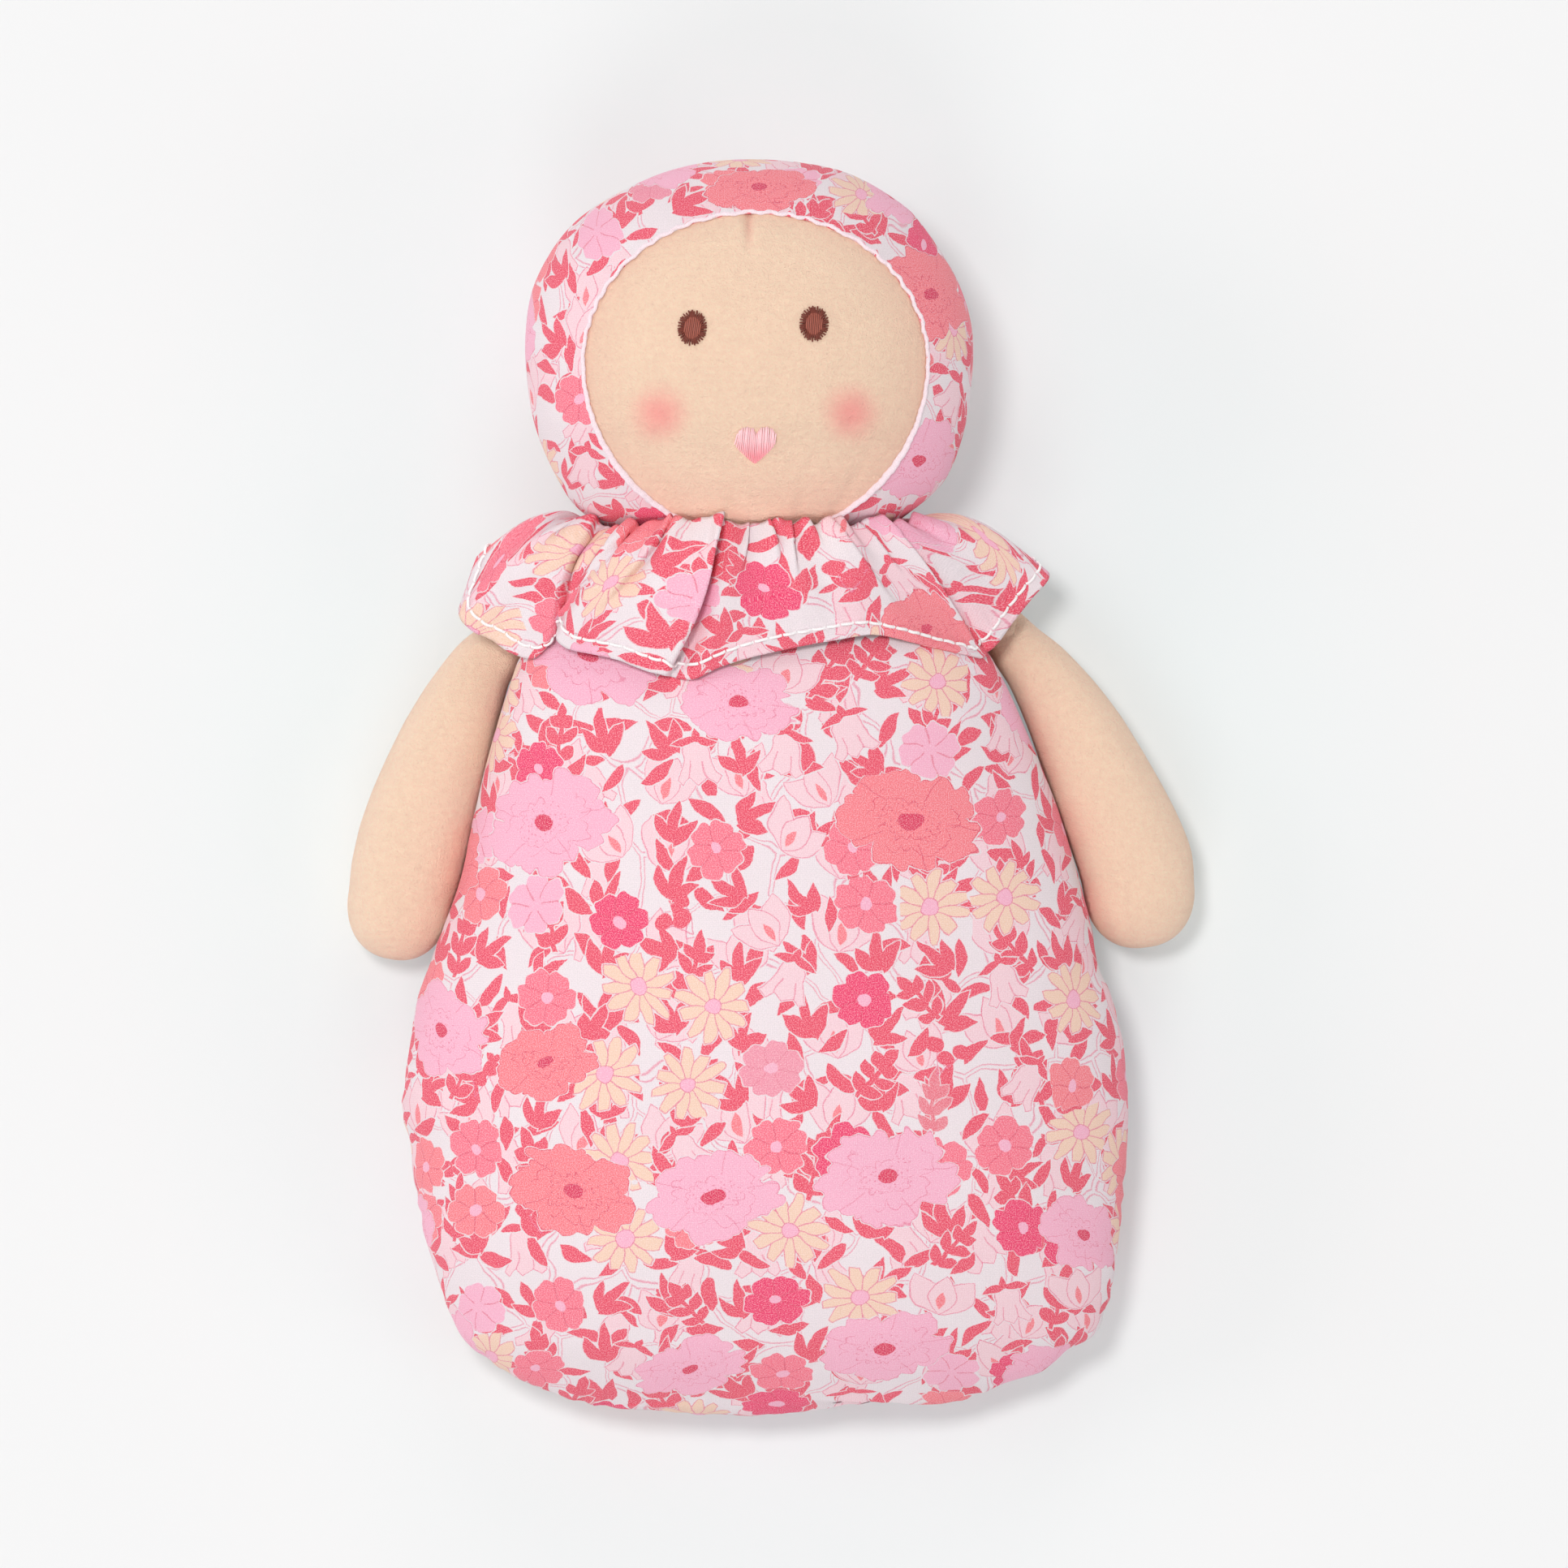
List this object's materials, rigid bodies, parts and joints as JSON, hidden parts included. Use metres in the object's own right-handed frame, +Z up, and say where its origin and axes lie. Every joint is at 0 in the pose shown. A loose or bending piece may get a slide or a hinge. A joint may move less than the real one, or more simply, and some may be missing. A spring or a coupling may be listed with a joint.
{
  "type": "rag doll",
  "caption": "Soft rag doll lying on its back: stuffed sack body, two stuffed arms, round head in a bonnet and a gathered collar ruffle.",
  "frame": {"origin": "centre of the bounding box on the surface that the doll lies on", "axes": "+Z up from that surface, out of the doll's face; +Y from its feet end to the crown of its head; +X to the viewer's right"},
  "size_m": [0.1948, 0.2904, 0.0702],
  "materials": {
    "printed_cotton": "plain-woven cotton with a dense pink ditsy floral print on an off-white ground, matt",
    "velour": "short-pile knitted velour in pale peach, matt with a soft nap",
    "filling": "loose polyester filling, hidden",
    "binding": "thin pale-pink bound edge, matt",
    "brown_thread": "brown satin-stitch embroidery, slight sheen",
    "pink_thread": "pink satin-stitch embroidery, slight sheen"
  },
  "bodies": {
    "torso": {"body_front_panel": "printed_cotton", "body_back_panel": "printed_cotton", "body_stuffing": "filling", "collar_ruffle": "printed_cotton"},
    "neck": {"neck_roll": "velour"},
    "head": {"bonnet_front": "printed_cotton", "bonnet_back": "printed_cotton", "bonnet_piping": "binding", "head_skin": "velour", "head_stuffing": "filling", "left_eye": "brown_thread", "right_eye": "brown_thread", "mouth": "pink_thread"},
    "left_shoulder": {"left_shoulder_tab": "velour"},
    "left_arm": {"left_arm_skin": "velour", "left_arm_stuffing": "filling"},
    "right_shoulder": {"right_shoulder_tab": "velour"},
    "right_arm": {"right_arm_skin": "velour", "right_arm_stuffing": "filling"}
  },
  "joints": [
    {"name": "neck_tilt", "type": "hinge", "parent": "torso", "child": "neck", "pos_m": [-0.005, 0.0529, 0.0285], "axis": [0, 0, 1], "range_deg": [-20, 20], "deforming": ["collar_ruffle"]},
    {"name": "head_nod", "type": "hinge", "parent": "neck", "child": "head", "pos_m": [-0.005, 0.0529, 0.0285], "axis": [1, 0, 0], "range_deg": [-10, 40], "deforming": ["collar_ruffle"]},
    {"name": "left_arm_lift", "type": "hinge", "parent": "torso", "child": "left_shoulder", "pos_m": [-0.0601, 0.0373, 0.0125], "axis": [0, 0, -1], "range_deg": [0, 90], "deforming": ["collar_ruffle"]},
    {"name": "left_arm_swing", "type": "hinge", "parent": "left_shoulder", "child": "left_arm", "pos_m": [-0.0601, 0.0373, 0.0125], "axis": [-0.9449, 0.3272, 0], "range_deg": [0, 75], "deforming": ["collar_ruffle"]},
    {"name": "right_arm_lift", "type": "hinge", "parent": "torso", "child": "right_shoulder", "pos_m": [0.0526, 0.0377, 0.0125], "axis": [0, 0, 1], "range_deg": [0, 90], "deforming": ["collar_ruffle"]},
    {"name": "right_arm_swing", "type": "hinge", "parent": "right_shoulder", "child": "right_arm", "pos_m": [0.0526, 0.0377, 0.0125], "axis": [-0.8988, -0.4384, 0], "range_deg": [0, 75], "deforming": ["collar_ruffle"]}
  ]
}
